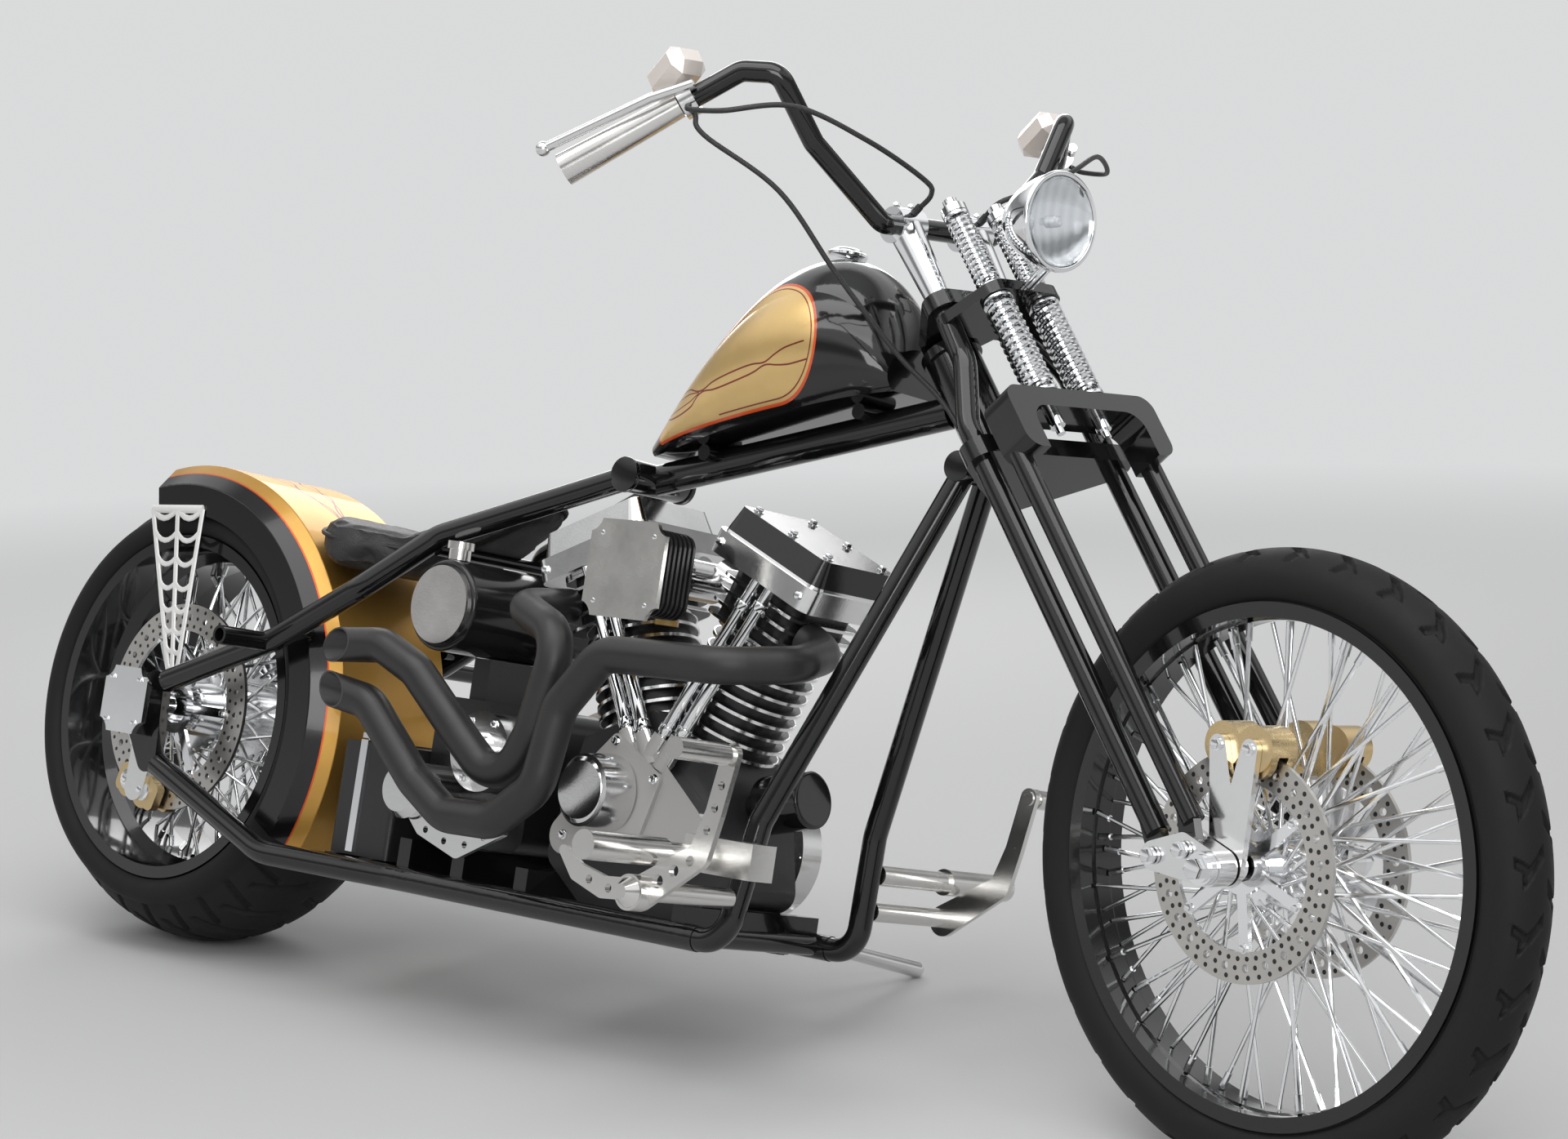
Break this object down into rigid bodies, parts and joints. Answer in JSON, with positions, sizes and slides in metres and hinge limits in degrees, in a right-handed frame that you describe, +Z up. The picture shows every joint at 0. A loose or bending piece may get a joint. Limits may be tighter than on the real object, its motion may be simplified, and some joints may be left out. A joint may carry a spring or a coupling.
{
  "type": "chopper motorcycle",
  "caption": "Low rigid-framed chopper motorcycle with a springer fork, open vee engine, teardrop tank, wide rear tyre and wire wheels, parked leaning on its side stand.",
  "frame": {"origin": "centre of the bounding box at ground level", "axes": "+X forward, +Y to the rider's left, +Z up; the machine leans to its left"},
  "size_m": [2.4349, 1.042, 1.2287],
  "materials": {
    "black_case": "satin black",
    "cable_black": "black sheathed hose",
    "chrome": "bright chrome",
    "disc_steel": "ground steel",
    "gloss_black": "gloss black powder coat",
    "gold_caliper": "gold anodised",
    "gold_paint": "gold and black paint with fine red lines",
    "leather": "smooth black leather",
    "lens": "clear glass",
    "pearl": "pale pearl, faceted",
    "pipe_black": "satin black heat-resistant coating",
    "polished": "polished",
    "tyre": "moulded rubber",
    "white_strut": "gloss pale grey"
  },
  "bodies": {
    "frame": {"frame_neck": "gloss_black", "frame_backbone": "gloss_black", "frame_upper_stays": "gloss_black", "frame_lower_rails": "gloss_black", "frame_downtubes": "gloss_black", "rear_axle": "chrome", "drive_chain": "disc_steel", "engine_case": "black_case", "cylinders": "black_case", "cylinder_heads": "black_case", "rocker_boxes": "polished", "cam_cover": "polished", "pushrod_tubes": "chrome", "intake": "polished", "air_cleaner": "polished", "primary_cover": "polished", "transmission": "black_case", "kicker_cover": "polished", "oil_tank": "gloss_black", "battery_box": "black_case", "battery_strap": "chrome", "oil_filter": "black_case", "exhausts": "pipe_black", "fuel_tank": "gold_paint", "fuel_cap": "polished", "seat": "leather", "rear_fender": "gold_paint", "fender_strut": "white_strut", "rear_caliper": "gold_caliper", "rear_caliper_bracket": "polished", "forward_controls": "polished", "stand_bracket": "gloss_black"},
    "rear_wheel": {"rear_tyre": "tyre", "rear_rim": "gloss_black", "rear_hub": "polished", "rear_disc": "disc_steel", "rear_sprocket": "disc_steel"},
    "fork": {"fork_rear_legs": "gloss_black", "fork_front_legs": "gloss_black", "fork_springs": "chrome", "spring_rods": "chrome", "fork_rockers": "polished", "front_axle": "chrome", "front_calipers": "gold_caliper", "caliper_brackets": "polished", "reservoirs": "pearl", "cables": "cable_black", "risers": "chrome", "handlebar": "gloss_black", "grips": "polished", "hand_controls": "polished", "headlamp_shell": "chrome", "headlamp_lens": "lens"},
    "front_wheel": {"front_tyre": "tyre", "front_rim": "gloss_black", "front_hub": "polished", "front_discs": "disc_steel"},
    "side_stand": {"side_stand": "polished"}
  },
  "joints": [
    {"name": "rear_wheel_spin", "type": "hinge", "parent": "frame", "child": "rear_wheel", "pos_m": [-0.89254, -0.11131, 0.31836], "axis": [-0.0007, 0.9659, -0.2588], "continuous": true},
    {"name": "steering", "type": "hinge", "parent": "frame", "child": "fork", "pos_m": [0.37842, 0.01503, 0.78636], "axis": [-0.6136, 0.204, 0.7628], "range_deg": [-19, 41]},
    {"name": "front_wheel_spin", "type": "hinge", "parent": "fork", "child": "front_wheel", "pos_m": [0.88092, -0.12673, 0.33703], "axis": [0.15, 0.9786, -0.141], "continuous": true},
    {"name": "side_stand_swing", "type": "hinge", "parent": "frame", "child": "side_stand", "pos_m": [0.04687, 0.00954, 0.10222], "axis": [0.0027, 0.2588, 0.9659], "range_deg": [0, 98]}
  ]
}
